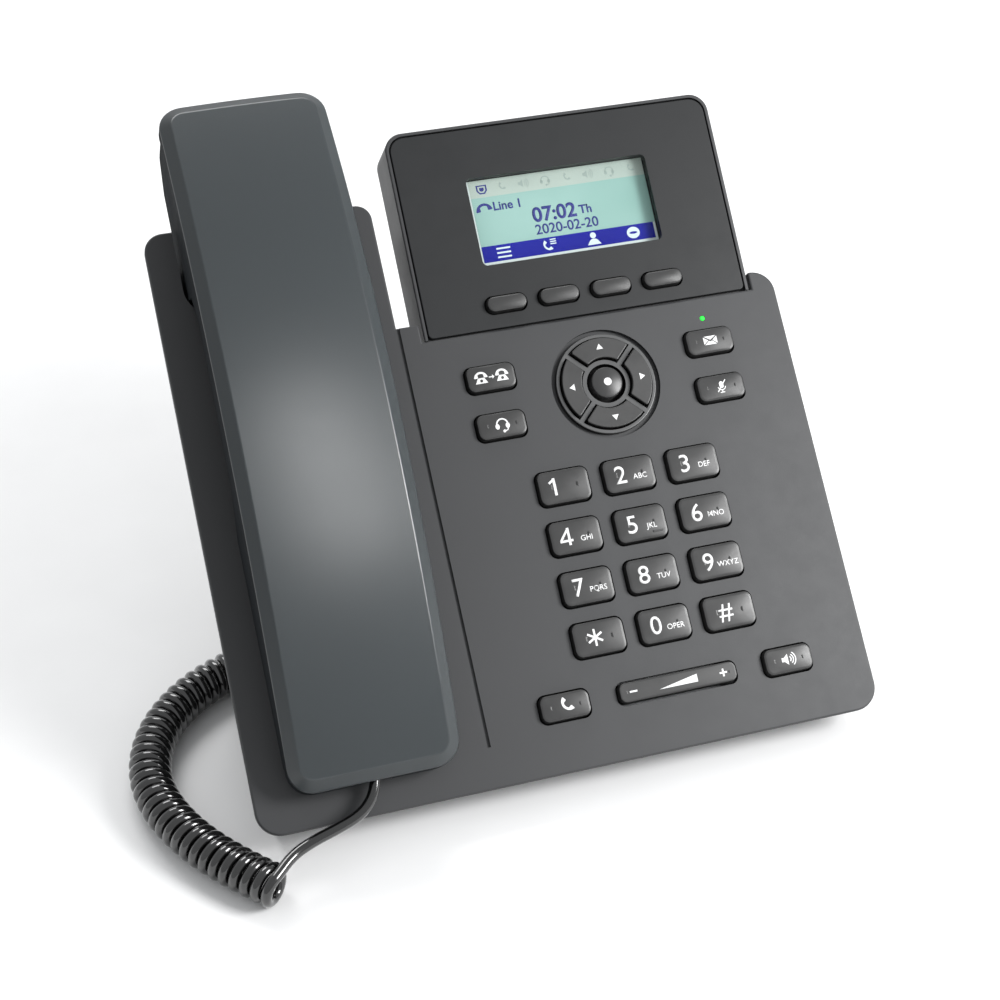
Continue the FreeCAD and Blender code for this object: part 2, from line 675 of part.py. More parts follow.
def handset_body():
    """The handset's lower shell, an open tray with an ear block and a mouth block."""
    half = BLOCK_WIDTH / 2
    seam = COVER_HEIGHT + 0.05
    solid = underside_block(UNDERSIDE, seam, half)
    ends = (UNDERSIDE[0][0], UNDERSIDE[-1][0])
    solid = solid.common(rounded_plan(ends, half, HANDSET_CORNER - 1))
    tools = []
    for side in (-1, 1):
        limits = sorted((HANDSET_U + side * MOUTH_WIDTH / 2, HANDSET_U + side * 30))
        tools.append(block(limits, (0, 96.0), (-20, 0.9)))
    inside = underside_block(INSIDE, seam - 4, MOUTH_WIDTH / 2 - WALL)
    tools.append(inside.common(rounded_plan((14.0, 197.3), MOUTH_WIDTH / 2 - WALL, 4.0)))
    tools.append(block((HANDSET_U - 4.3, HANDSET_U + 4.3), (0, 15), (PLUG_W - 2.65, PLUG_W + 9)))
    tools.append(block((HANDSET_U - 2.2, HANDSET_U + 2.2), (0, PLUG_FACE_V + 0.3), (-1, PLUG_W)))
    for at in SCREW_V:
        tools.append(cylinder(1.3, (HANDSET_U, at), (5, 20)))
        tools.append(cylinder(3.0, (HANDSET_U, at), (5, 13.6)))
    holes = [(HANDSET_U, EAR_V)]
    for index in range(6):
        angle = math.radians(60 * index)
        holes.append((HANDSET_U + 5 * math.cos(angle), EAR_V + 5 * math.sin(angle)))
    tools += [cylinder(0.9, at, (-20, -8)) for at in holes]
    tools.append(centred((6.0, 1.2, 0.59), (HANDSET_U, MOUTH_V), (-20, -5)))
    return without(solid, tools)


def handset_screws():
    screws = []
    for at in SCREW_V:
        head = cylinder(2.7, (HANDSET_U, at), (12.6, 13.6))
        shank = cylinder(1.1, (HANDSET_U, at), (13.6, 22.5))
        screws.append(joined([head, shank]))
    return Part.makeCompound([placed(screw, PLATE) for screw in screws])


def handset_receiver():
    centre = (HANDSET_U, EAR_V)
    return joined([cylinder(13.0, centre, (-9.9, -5.0)), cylinder(7.0, centre, (-5.0, -1.0))])


def handset_microphone():
    return cylinder(4.0, (HANDSET_U, MOUTH_V), (-6.9, -2.9))


def handset_weight():
    return block((HANDSET_U - 15, HANDSET_U + 15), (104, 128), (15.2, 18.4), 1.0)


def handset_socket():
    v = (PLUG_FACE_V + 2.0, 27.0)
    body = block((HANDSET_U - 5.5, HANDSET_U + 5.5), v, (PLUG_W - 2.6, PLUG_W + 3.6))
    u = (HANDSET_U - PLUG_SIZE[0] / 2 - 0.05, HANDSET_U + PLUG_SIZE[0] / 2 + 0.05)
    w = (PLUG_W - PLUG_SIZE[1] / 2 - 0.05, PLUG_W + PLUG_SIZE[1] / 2 + 0.05)
    return body.cut(block(u, (0, PLUG_FACE_V + 12), w))


# --- cord ---------------------------------------------------------------------------------------
def plug(length):
    """A modular plug along +Y with its cord end at Y = 0."""
    half = PLUG_SIZE[0] / 2
    body = block((-half, half), (0, length), (-PLUG_SIZE[1] / 2, PLUG_SIZE[1] / 2))
    slots = [block((x - 0.3, x + 0.3), (length - 3.5, length + 1), (PLUG_SIZE[1] / 2 - 0.8, 5))
             for x in (-1.9, -0.65, 0.65, 1.9)]
    return without(body, slots)


def handset_plug():
    place = FreeCAD.Placement(V(HANDSET_U, PLUG_FACE_V, PLUG_W), FreeCAD.Rotation())
    return placed(plug(11.5), PLATE.multiply(place))


def base_plug():
    turn = FreeCAD.Rotation(V(0, 0, 1), 180)
    return placed(plug(12.5), FreeCAD.Placement(V(*BASE_LEAD_ROUTE[-1]), turn))


def handset_lead_route():
    """The lead's route: straight out of the plug, then over the plate's edge to the coil."""
    start = [PLATE.multVec(V(HANDSET_U, at, PLUG_W)) for at in (PLUG_FACE_V, PLUG_FACE_V - 4.5)]
    return [tuple(point) for point in start] + list(LEAD_ROUTE)


def arc_cuts(points):
    """For each inner point of a route: the arc's radius and how far from the point it starts."""
    cuts = []
    for before, at, after in zip(points, points[1:], points[2:]):
        into = (at - before).normalize()
        out = (after - at).normalize()
        turn = into.getAngle(out)
        reach = 0.45 * min((at - before).Length, (after - at).Length)
        cuts.append((reach / math.tan(turn / 2), reach))
    return cuts


def tube(route, diameter, name):
    """A round tube along straight runs joined by tangent arcs."""
    points = [V(*p) for p in route]
    cuts = arc_cuts(points)
    print(name, "arc radii", [round(radius, 1) for radius, reach in cuts])
    edges = []
    start = points[0]
    for index, (radius, reach) in enumerate(cuts):
        at = points[index + 1]
        into = (at - points[index]).normalize()
        out = (points[index + 2] - at).normalize()
        first = at - into * reach
        last = at + out * reach
        bisector = (out - into).normalize()
        half_turn = into.getAngle(out) / 2
        middle = at + bisector * (radius / math.cos(half_turn) - radius)
        edges.append(Part.LineSegment(start, first).toShape())
        edges.append(Part.Arc(first, middle, last).toShape())
        start = last
    edges.append(Part.LineSegment(start, points[-1]).toShape())
    path = Part.Wire(edges)
    heading = (points[1] - points[0]).normalize()
    section = Part.Wire(Part.makeCircle(diameter / 2, points[0], heading))
    solid = path.makePipeShell([section], True, False)
    expected = math.pi * diameter ** 2 / 4 * path.Length
    print(name, "length", round(path.Length, 1), "volume over section times length",
          round(solid.Volume / expected, 4))
    return solid


# --- the assembly -------------------------------------------------------------------------------
CORD_NODES = ("handset_plug", "handset_lead", "curly_cord", "base_lead", "base_plug")


def build():
    """Every sub-part by name, before the origin is moved under the phone's middle."""
    on_plate = {
        "front_housing": front_housing(),
        "main_board": main_board(),
        "key_membrane": key_membrane(),
        "navigation_bezel": navigation_bezel(),
        "message_light": message_light(),
        "loudspeaker": loudspeaker(),
        "base_microphone": base_microphone(),
        "hook_switch": hook_switch(),
        "volume_rocker": volume_rocker(),
        "select_key": select_key(),
        "handset_cover": handset_cover(),
        "handset_body": handset_body(),
        "handset_receiver": handset_receiver(),
        "handset_microphone": handset_microphone(),
        "handset_weight": handset_weight(),
        "handset_socket": handset_socket(),
    }
    on_plate.update(arrow_keys())
    for name, (size, at) in list(number_keys().items()) + list(function_keys().items()):
        on_plate[name] = key(size, at)
    on_screen = {
        "screen_housing": screen_housing(),
        "screen_panel": screen_panel(),
        "display_window": display_window(),
        "display_module": display_module(),
    }
    for name, (size, at) in soft_keys().items():
        on_screen[name] = key(size, at)
    parts = {name: placed(shape, PLATE) for name, shape in on_plate.items()}
    parts.update({name: placed(shape, SCREEN) for name, shape in on_screen.items()})
    parts.update({
        "rear_housing": rear_housing(),
        "foot_stand": foot_stand(),
        "rubber_feet": rubber_feet(),
        "housing_screws": housing_screws(),
        "handset_screws": handset_screws(),
        "network_jacks": network_jacks(),
        "handset_jacks": handset_jacks(),
        "handset_plug": handset_plug(),
        "base_plug": base_plug(),
        "handset_lead": tube(handset_lead_route(), CORD_DIAMETER, "handset_lead"),
        "curly_cord": tube(COIL_ROUTE, COIL_DIAMETER, "curly_cord"),
        "base_lead": tube(BASE_LEAD_ROUTE, CORD_DIAMETER, "base_lead"),
    })
    return parts


def middle_depth(parts):
    """Depth of the middle of the phone's box behind the plate's bottom edge, without the cord."""
    boxes = [shape.BoundBox for name, shape in parts.items() if name not in CORD_NODES]
    return (min(box.YMin for box in boxes) + max(box.YMax for box in boxes)) / 2


def main():
    os.makedirs("parts", exist_ok=True)
    parts = build()
    middle = middle_depth(parts)
    print("middle depth", round(middle, 4))
    for name, shape in parts.items():
        moved = shape.copy()
        moved.translate(V(0, -middle, 0))
        moved.exportStep("parts/" + name + ".step")
    return parts


if __name__ == "__main__":
    main()
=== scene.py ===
import json
import math

import bmesh
import bpy
from mathutils import Matrix, Vector


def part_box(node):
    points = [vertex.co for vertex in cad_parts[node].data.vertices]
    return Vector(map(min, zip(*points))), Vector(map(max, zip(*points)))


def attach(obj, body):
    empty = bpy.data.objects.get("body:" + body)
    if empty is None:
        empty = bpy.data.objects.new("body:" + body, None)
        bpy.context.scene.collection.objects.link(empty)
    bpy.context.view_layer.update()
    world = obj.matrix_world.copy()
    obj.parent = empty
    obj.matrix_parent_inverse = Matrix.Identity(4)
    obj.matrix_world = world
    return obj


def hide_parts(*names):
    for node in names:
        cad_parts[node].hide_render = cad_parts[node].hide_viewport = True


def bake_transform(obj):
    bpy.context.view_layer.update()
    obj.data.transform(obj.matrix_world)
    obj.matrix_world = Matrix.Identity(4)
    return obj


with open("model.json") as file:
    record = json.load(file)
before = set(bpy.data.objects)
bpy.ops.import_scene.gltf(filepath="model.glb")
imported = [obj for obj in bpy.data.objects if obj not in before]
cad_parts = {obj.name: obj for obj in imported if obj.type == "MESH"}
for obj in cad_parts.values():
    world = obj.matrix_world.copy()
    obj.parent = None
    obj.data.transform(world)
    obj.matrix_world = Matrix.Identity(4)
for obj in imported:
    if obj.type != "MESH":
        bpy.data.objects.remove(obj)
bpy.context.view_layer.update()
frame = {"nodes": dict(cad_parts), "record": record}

# Lengths are in millimetres, in the plate's frame unless a comment says otherwise: u to the
# right, v up the sloping face plate, w out of it.
MM = 0.001
PLATE_SLOPE = math.radians(41.55)
PLATE_FOOT = Vector((0, -75.908, 10.5))       # the plate's bottom edge, in the row frame
SCREEN_FOOT = 127.5
SCREEN_TILT = math.radians(3)

PLATE = (Matrix.Translation(PLATE_FOOT * MM) @ Matrix.Rotation(PLATE_SLOPE, 4, "X")
         @ Matrix.Scale(MM, 4))
SCREEN = PLATE @ Matrix.Translation((0, SCREEN_FOOT, 0)) @ Matrix.Rotation(SCREEN_TILT, 4, "X")

NODES = frame["nodes"]
BODY_OF = {node: body for body, nodes in frame["record"]["behaviour"]["bodies"].items()
           for node in nodes}
SLOT_OF = {part["node"]: part["material_slot"] for part in frame["record"]["subparts"]}


# --- materials ----------------------------------------------------------------------------------
KEY_GREY = (0.034, 0.034, 0.034)
# Painted shade: this black on the sides of keys and the bezel stands for the shade in the gaps
# round them.
PAINTED_SIDE_SHADE = (0.006, 0.006, 0.006)


def shader(name, roughness, specular=0.5, **sockets):
    made = bpy.data.materials.new(name)
    made.use_nodes = True
    bsdf = made.node_tree.nodes["Principled BSDF"]
    bsdf.inputs["Roughness"].default_value = roughness
    bsdf.inputs["Specular IOR Level"].default_value = specular
    for socket, value in sockets.items():
        bsdf.inputs[socket.replace("_", " ")].default_value = value
    return made, made.node_tree, bsdf


def add_node(tree, kind, **values):
    node = tree.nodes.new(kind)
    for key, value in values.items():
        if hasattr(node, key):
            setattr(node, key, value)
        else:
            node.inputs[key.replace("_", " ")].default_value = value
    return node


def noise(tree, size, detail=2.0, roughness=0.5):
    """Noise whose features are about this many millimetres across, fixed to the piece."""
    where = tree.nodes.new("ShaderNodeTexCoord")
    texture = add_node(tree, "ShaderNodeTexNoise", Scale=1 / (size * MM), Detail=detail,
                       Roughness=roughness)
    tree.links.new(where.outputs["Object"], texture.inputs["Vector"])
    return texture.outputs["Fac"]


def ramp(tree, source, low, high, band=(0.3, 0.7)):
    node = tree.nodes.new("ShaderNodeMapRange")
    tree.links.new(source, node.inputs["Value"])
    for key, value in zip(("From Min", "From Max", "To Min", "To Max"), (*band, low, high)):
        node.inputs[key].default_value = value
    return node.outputs["Result"]


def mixed(tree, factor, first, second):
    node = tree.nodes.new("ShaderNodeMix")
    node.data_type = "RGBA"
    tree.links.new(factor, node.inputs["Factor"])
    for socket, value in ((node.inputs["A"], first), (node.inputs["B"], second)):
        if isinstance(value, tuple):
            socket.default_value = (*value, 1)
        else:
            tree.links.new(value, socket)
    return node.outputs["Result"]


def bump(tree, bsdf, height, depth):
    node = add_node(tree, "ShaderNodeBump", Strength=1.0, Distance=depth * MM)
    tree.links.new(height, node.inputs["Height"])
    tree.links.new(node.outputs["Normal"], bsdf.inputs["Normal"])


def shade(colour, factor):
    return tuple(channel * factor for channel in colour)


def moulded(name, colour, roughness, grain=0.35, depth=0.012, spread=0.05, worn=0.10, **sockets):
    """Moulded plastic: spark-eroded grain, slow changes of tone and gloss, faint handling marks."""
    made, tree, bsdf = shader(name, roughness, **sockets)
    fine = noise(tree, grain, 3.0, 0.6)
    slow = noise(tree, 38.0, 2.0)
    marks = noise(tree, 7.0, 6.0, 0.72)
    tone = mixed(tree, ramp(tree, slow, 0, 1), shade(colour, 1 - spread), shade(colour, 1 + spread))
    speck = ramp(tree, fine, 0, 0.35, (0.35, 0.75))
    rubbed = mixed(tree, speck, tone, shade(colour, 1 + 2.2 * spread))
    tree.links.new(rubbed, bsdf.inputs["Base Color"])
    tree.links.new(ramp(tree, marks, roughness - worn / 2, roughness + worn / 2, (0.35, 0.65)),
                   bsdf.inputs["Roughness"])
    bump(tree, bsdf, fine, depth)
    return made


def printed(name, colour, glow=0.0):
    """Screen print: flat ink with a slightly uneven film."""
    made, tree, bsdf = shader(name, 0.5)
    film = noise(tree, 0.5, 3.0)
    ink = mixed(tree, ramp(tree, film, 0, 1), shade(colour, 0.93), colour)
    tree.links.new(ink, bsdf.inputs["Base Color"])
    if glow:
        tree.links.new(ink, bsdf.inputs["Emission Color"])
        bsdf.inputs["Emission Strength"].default_value = glow
    bump(tree, bsdf, film, 0.004)
    return made


def metal(name, colour, roughness):
    made, tree, bsdf = shader(name, roughness, Metallic=1.0)
    turned = noise(tree, 0.4, 4.0, 0.7)
    tone = mixed(tree, ramp(tree, turned, 0, 1), shade(colour, 0.85), colour)
    tree.links.new(tone, bsdf.inputs["Base Color"])
    tree.links.new(ramp(tree, turned, roughness - 0.08, roughness + 0.1), bsdf.inputs["Roughness"])
    bump(tree, bsdf, turned, 0.01)
    return made


def board_material():
    """Solder mask over copper tracks."""
    made, tree, bsdf = shader("board_green", 0.35)
    where = tree.nodes.new("ShaderNodeTexCoord")
    tracks = add_node(tree, "ShaderNodeTexBrick", Scale=120.0, Mortar_Size=0.06)
    tree.links.new(where.outputs["Object"], tracks.inputs["Vector"])
    tone = mixed(tree, tracks.outputs["Fac"], (0.012, 0.10, 0.035), (0.03, 0.19, 0.06))
    tree.links.new(tone, bsdf.inputs["Base Color"])
    tree.links.new(ramp(tree, noise(tree, 3.0), 0.28, 0.42), bsdf.inputs["Roughness"])
    bump(tree, bsdf, tracks.outputs["Fac"], 0.03)
    return made


def with_painted_side_shade(name, colour, roughness):
    """Moulded plastic, grey on faces that look out of the plate and black on the sides as painted
    shade.
    """
    made = moulded(name, colour, roughness, grain=0.22, depth=0.004)
    tree = made.node_tree
    bsdf = tree.nodes["Principled BSDF"]
    where = tree.nodes.new("ShaderNodeTexCoord")
    facing = add_node(tree, "ShaderNodeVectorMath", operation="DOT_PRODUCT")
    facing.inputs[1].default_value = (0, -math.sin(PLATE_SLOPE), math.cos(PLATE_SLOPE))
    tree.links.new(where.outputs["Normal"], facing.inputs[0])
    grey = bsdf.inputs["Base Color"].links[0].from_socket
    # Faces that turn away from the plate's face go black: painted shade.
    tone = mixed(tree, ramp(tree, facing.outputs["Value"], 0, 1, (0.55, 0.85)), PAINTED_SIDE_SHADE, grey)
    tree.links.new(tone, bsdf.inputs["Base Color"])
    return made


def clear_material(name, tint, alpha, roughness):
    """Thin clear plastic that lets the light through."""
    made, tree, bsdf = shader(name, roughness, Alpha=alpha)
    haze = noise(tree, 9.0, 4.0)
    tree.links.new(mixed(tree, ramp(tree, haze, 0, 1), shade(tint, 0.9), tint),
                   bsdf.inputs["Base Color"])
    tree.links.new(ramp(tree, haze, roughness, roughness + 0.06), bsdf.inputs["Roughness"])
    return made


MATERIALS = {
    "housing": moulded("housing_grey", (0.032, 0.033, 0.035), 0.50, worn=0.05),
    "key": moulded("key_grey", KEY_GREY, 0.36, grain=0.22, depth=0.005),
    "bezel": moulded("bezel_grey", (0.090, 0.091, 0.092), 0.34, grain=0.2, depth=0.004),
    "screen_panel": moulded("screen_grey", (0.012, 0.013, 0.014), 0.48, grain=0.25, depth=0.006,
                            specular=0.35),
    "window": clear_material("window_clear", (0.2, 0.24, 0.23), 0.035, 0.05),
    "display": moulded("display_frame", (0.012, 0.013, 0.014), 0.6),
    "circuit_board": board_material(),
    "membrane": moulded("membrane_rubber", (0.30, 0.31, 0.32), 0.75),
    "message_light": printed("light_green", (0.005, 0.62, 0.03), 1.2),
    "capsule": moulded("capsule_black", (0.02, 0.02, 0.021), 0.6),
    "handset": moulded("handset_grey", (0.020, 0.024, 0.026), 0.29, grain=0.3, depth=0.003,
                       spread=0.03, worn=0.025),
    "steel": metal("screw_steel", (0.55, 0.55, 0.56), 0.34),
    "jack": moulded("jack_black", (0.018, 0.018, 0.019), 0.35, grain=0.3, depth=0.006),
    "rubber": moulded("foot_rubber", (0.022, 0.022, 0.023), 0.85, grain=0.5, depth=0.03),
    "plug": clear_material("plug_clear", (0.62, 0.64, 0.66), 0.55, 0.12),
    "cord": moulded("cord_black", (0.005, 0.005, 0.005), 0.16, grain=0.6, depth=0.004, worn=0.04,
                    Coat_Weight=1.0, Coat_Roughness=0.06),
}
WHITE_INK = printed("ink_white", (0.78, 0.78, 0.78))
DARK_INK = printed("ink_dark", (0.012, 0.012, 0.013))
# Painted shade: the black of a key's lip, skirt and sides, for the shade in the gaps between keys.
KEY_SIDE_SHADE = moulded("key_side_painted_shade", PAINTED_SIDE_SHADE, 0.6, grain=0.3, depth=0.006)
# Painted shade: a darker copy of the handset's plastic, dull and with almost no reflection, for its
# shaded side wall and lower body.
HANDSET_SIDE_SHADED = moulded("handset_side_shaded", (0.020, 0.022, 0.024), 0.75, IOR=1.08)

for node, slot_name in SLOT_OF.items():
    NODES[node].data.materials.clear()
    NODES[node].data.materials.append(MATERIALS[slot_name])
    # The arrow keys get black sides as painted shade.
    if node.startswith("arrow_key"):
        NODES[node].data.materials[0] = with_painted_side_shade(node + "_two_tone", KEY_GREY, 0.36)
# The bezel's sides go black too: painted shade in its groove.
NODES["navigation_bezel"].data.materials[0] = with_painted_side_shade("bezel_two_tone",
                                                         (0.085, 0.086, 0.087), 0.34)
# The handset's lower body takes that dull dark copy: painted shade.
NODES["handset_body"].data.materials[0] = HANDSET_SIDE_SHADED


# --- meshes -------------------------------------------------------------------------------------
SMALLEST_CORNER = 0.02


def centre(node, matrix=PLATE):
    """The middle of a CAD node's box, in the plate's or the screen's frame."""
    low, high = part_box(node)
    return matrix.inverted() @ ((low + high) / 2)


def make(name, mesh, slot_name, body, material=None, smooth=True):
    obj = bpy.data.objects.new(name, mesh)
    bpy.context.scene.collection.objects.link(obj)
    mesh.materials.clear()
    mesh.materials.append(material or MATERIALS[slot_name])
    if smooth:
        mesh.shade_smooth()
    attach(obj, body)
    return obj


def mesh_of(name, points, faces, matrix):
    mesh = bpy.data.meshes.new(name)
    mesh.from_pydata([matrix @ Vector(point) for point in points], [], faces)
    mesh.update()
    return mesh


def rounded_ring(size, corner, steps=6, side_parts=1, ends=0):
    """Points round a rounded rectangle about the origin, the same on its left and right.

    A corner has this many steps, a straight side this many parts, and a straight end twice
    this many points between its corners.
    """
    half_x, half_y = size[0] / 2, size[1] / 2
    radius = max(min(corner, half_x, half_y), SMALLEST_CORNER)
    inner_x, inner_y = half_x - radius, half_y - radius

    def corner_arc(y_side, start):
        angles = [math.radians(start + 90 * step / steps) for step in range(steps + 1)]
        return [(inner_x + radius * math.cos(a), y_side * inner_y + radius * math.sin(a))
                for a in angles]

    side = [(half_x, inner_y * (2 * step / side_parts - 1)) for step in range(1, side_parts)]
    end = [inner_x * (2 * step + 1) / (2 * ends + 1) for step in range(ends)]
    right = ([(x, -half_y) for x in end] + corner_arc(-1, -90) + side + corner_arc(1, 0)
             + [(x, half_y) for x in reversed(end)])
    return right + [(-x, y) for x, y in reversed(right)]


def across_strips(count, ends):
    """Faces that close a ring by strips from its right half to its left half."""
    final = count // 2 - 2 - ends
    strips = []
    for i in range(ends, final + 1):
        strip = [i, i + 1, count - 2 - i, count - 1 - i]
        if i == final:
            strip[2:2] = range(i + 2, count - 2 - i)
        if i == ends:
            strip += [*range(count - i, count), *range(i)]
        strips.append(strip)
    return strips


def upright_strips(count):
    """Faces that close a ring wider than it is high, by strips from its bottom to its top."""
    half = count // 2
    strips = [[0, half - 1, half, count - 1]]
    for start in (0, half):
        strips += [[start + i, start + i + 1, start + half - 2 - i, start + half - 1 - i]
                   for i in range(half // 2 - 1)]
    return strips


def loft(name, rings, matrix, ends=0, upright=False):
    """A closed skin over rings of equal length, each end closed by strips across the ring."""
    count = len(rings[0])
    points = [point for ring in rings for point in ring]
    faces = []
    for level in range(len(rings) - 1):
        for i in range(count):
            j = (i + 1) % count
            faces.append((level * count + i, level * count + j,
                          (level + 1) * count + j, (level + 1) * count + i))
    last = (len(rings) - 1) * count
    for strip in upright_strips(count) if upright else across_strips(count, ends):
        faces.append(tuple(reversed(strip)))
        faces.append(tuple(last + k for k in strip))
    return mesh_of(name, points, faces, matrix)


# --- print --------------------------------------------------------------------------------------
CAPITAL_SHARE = 0.69                          # height of the built-in font's capitals
INK_EDGE = 0.9                                # longest edge of a decal that follows a curved face


def from_curve(curve):
    """The mesh of a curve, which is then deleted."""
    obj = bpy.data.objects.new(curve.name, curve)
    bpy.context.scene.collection.objects.link(obj)
    bpy.context.view_layer.update()
    mesh = bpy.data.meshes.new_from_object(obj)
    bpy.data.objects.remove(obj)
    bpy.data.curves.remove(curve)
    return mesh


def lettering(text, height, bold):
    """Outlines of a text, its capitals this high, centred on the origin."""
    curve = bpy.data.curves.new("text", "FONT")
    curve.body = text
    curve.size = height / CAPITAL_SHARE
    curve.offset = bold
    curve.resolution_u = 6
    curve.align_x = "CENTER"
    mesh = from_curve(curve)
    for vertex in mesh.vertices:
        vertex.co.y -= height / 2
    return mesh


def outline(*loops):
    """A flat figure from its closed outlines; a loop inside another is a hole."""
    curve = bpy.data.curves.new("figure", "CURVE")
    curve.dimensions = "2D"
    curve.fill_mode = "BOTH"
    for loop in loops:
        spline = curve.splines.new("POLY")
        spline.points.add(len(loop) - 1)
        for point, (x, y) in zip(spline.points, loop):
            point.co = (x, y, 0, 1)
        spline.use_cyclic_u = True
    return from_curve(curve)


def arc(radius, start, end, at, steps, squeeze=1.0):
    """Points along an arc between two angles in degrees."""
    return [(at[0] + radius * math.cos(math.radians(start + (end - start) * i / steps)),
             at[1] + squeeze * radius * math.sin(math.radians(start + (end - start) * i / steps)))
            for i in range(steps + 1)]


def stroke(points, width):
    """A line of this width along some points."""
    left, right = [], []
    for i, (x, y) in enumerate(points):
        ax, ay = points[max(i - 1, 0)]
        bx, by = points[min(i + 1, len(points) - 1)]
        length = math.hypot(bx - ax, by - ay)
        nx, ny = (ay - by) / length * width / 2, (bx - ax) / length * width / 2
        left.append((x + nx, y + ny))
        right.append((x - nx, y - ny))
    return outline(left + right[::-1])


def disc(radius, at=(0, 0)):
    return outline(arc(radius, 0, 345, at, 23))


def shifted(mesh, x, y, turn=0.0, scale=1.0):
    mesh.transform(Matrix.Translation((x, y, 0)) @ Matrix.Rotation(math.radians(turn), 4, "Z")
                   @ Matrix.Scale(scale, 4))
    return mesh


def gathered(meshes):
    whole = bmesh.new()
    for mesh in meshes:
        whole.from_mesh(mesh)
        bpy.data.meshes.remove(mesh)
    mesh = bpy.data.meshes.new("gathered")
    whole.to_mesh(mesh)
    whole.free()
    return mesh


def decal(name, figures, at, face, slot_name, body, ink, matrix=PLATE, thickness=0.04):
    """Figures laid on a face as a thin film of ink. face gives the height at a place."""
    flat = bmesh.new()
    flat.from_mesh(gathered(figures))
    bmesh.ops.remove_doubles(flat, verts=flat.verts, dist=0.001)
    bmesh.ops.triangulate(flat, faces=flat.faces)
    for _ in range(4):
        long = [edge for edge in flat.edges if edge.calc_length() > INK_EDGE]
        if not long:
            break
        bmesh.ops.subdivide_edges(flat, edges=long, cuts=1)
        bmesh.ops.triangulate(flat, faces=flat.faces)
    bmesh.ops.recalc_face_normals(flat, faces=flat.faces)
    grown = bmesh.ops.extrude_face_region(flat, geom=list(flat.faces))["geom"]
    upper = {item for item in grown if isinstance(item, bmesh.types.BMVert)}
    for vertex in flat.verts:
        x, y = vertex.co.x, vertex.co.y
        lift = thickness if vertex in upper else -thickness
        vertex.co = matrix @ Vector((at[0] + x, at[1] + y, face(x, y) + lift))
    bmesh.ops.recalc_face_normals(flat, faces=flat.faces)
    mesh = bpy.data.meshes.new(name)
    flat.to_mesh(mesh)
    flat.free()
    make(name, mesh, slot_name, body, ink, smooth=False)


# --- camera and light ---------------------------------------------------------------------------
CAMERA_PLACE = Vector((-131.6, -13.5, 524.6))
CAMERA_RIGHT = Vector((0.95747035, -0.21594641, 0.19135748))
CAMERA_UP = Vector((0.17482549, 0.96180363, 0.21064147))
SKY = 0.68                                    # strength of the light from all round
FLOOR_REACH = 1.6                             # metres


def place_camera():
    """The photograph's view: a 70 mm lens, from the lower left of the face plate."""
    data = bpy.data.cameras.new("camera")
    data.lens = 70.0
    data.sensor_width = 36.0
    data.clip_start, data.clip_end = 0.01, 20.0
    camera = bpy.data.objects.new("camera", data)
    bpy.context.scene.collection.objects.link(camera)
    turn = Matrix((CAMERA_RIGHT, CAMERA_UP, CAMERA_RIGHT.cross(CAMERA_UP))).transposed()
    turn = Matrix.Rotation(PLATE_SLOPE, 3, "X") @ turn
    camera.matrix_world = Matrix.Translation(PLATE @ CAMERA_PLACE) @ turn.to_4x4()
    bpy.context.scene.camera = camera


def area_light(name, place, aim, size, power, only=None):
    """A softbox, in metres and watts in the row frame. only limits it to one piece."""
    data = bpy.data.lights.new(name, "AREA")
    data.shape = "RECTANGLE"
    data.size, data.size_y = size
    data.energy = power
    obj = bpy.data.objects.new(name, data)
    bpy.context.scene.collection.objects.link(obj)
    obj.location = place
    obj.rotation_mode = "QUATERNION"
    obj.rotation_quaternion = (Vector(aim) - Vector(place)).to_track_quat("-Z", "Y")
    if only:
        lit_pieces = bpy.data.collections.new(name + "_pieces")
        lit_pieces.objects.link(only)
        obj.light_linking.receiver_collection = lit_pieces


def light_studio(handset):
    """Even light all round and three softboxes, of which one is for the handset's glow."""
    world = bpy.data.worlds.new("studio")
    bpy.context.scene.world = world
    world.use_nodes = True
    background = world.node_tree.nodes["Background"]
    background.inputs["Color"].default_value = (0.97, 0.985, 1, 1)
    background.inputs["Strength"].default_value = SKY
    area_light("backlight", (0.0, 1.3, 1.5), (0, 0.05, 0), (1.4, 0.8), 22)
    area_light("handset_softbox", (0.15, -0.82, 1.09), (-0.057, 0.0, 0.1), (0.26, 0.60), 5.0,
               handset)
    area_light("right_softbox", (0.55, -0.42, 0.50), (0.06, 0.0, 0.08), (0.3, 0.35), 7.5)
    bpy.context.scene.view_settings.view_transform = "Standard"


def lay_floor():
    points = [(x * FLOOR_REACH, y * FLOOR_REACH, 0) for x in (-1, 1) for y in (-1, 1)]
    mesh = mesh_of("floor", points, [(0, 2, 3, 1)], Matrix.Identity(4))
    floor = bpy.data.objects.new("floor", mesh)
    bpy.context.scene.collection.objects.link(floor)
    made, tree, bsdf = shader("floor_pale", 0.7, 0.2)
    paper = noise(tree, 25.0, 3.0)
    tree.links.new(mixed(tree, ramp(tree, paper, 0, 1), (0.86, 0.86, 0.86), (0.88, 0.88, 0.88)),
                   bsdf.inputs["Base Color"])
    mesh.materials.append(made)


# --- handset cord -------------------------------------------------------------------------------
WIRE = 3.1                                    # diameter of the wire
COIL = 12.0                                   # outer diameter of the coil
COIL_PITCH = 3.4
TURN_POINTS = 16
JOIN_STEP = 10                                # points of the first turn left out for the lead


def table_point(x, y, z):
    """A point whose depth is measured from the plate's front corner, in metres in the row frame."""
    return Vector((x, y + PLATE_FOOT.y, z)) * MM


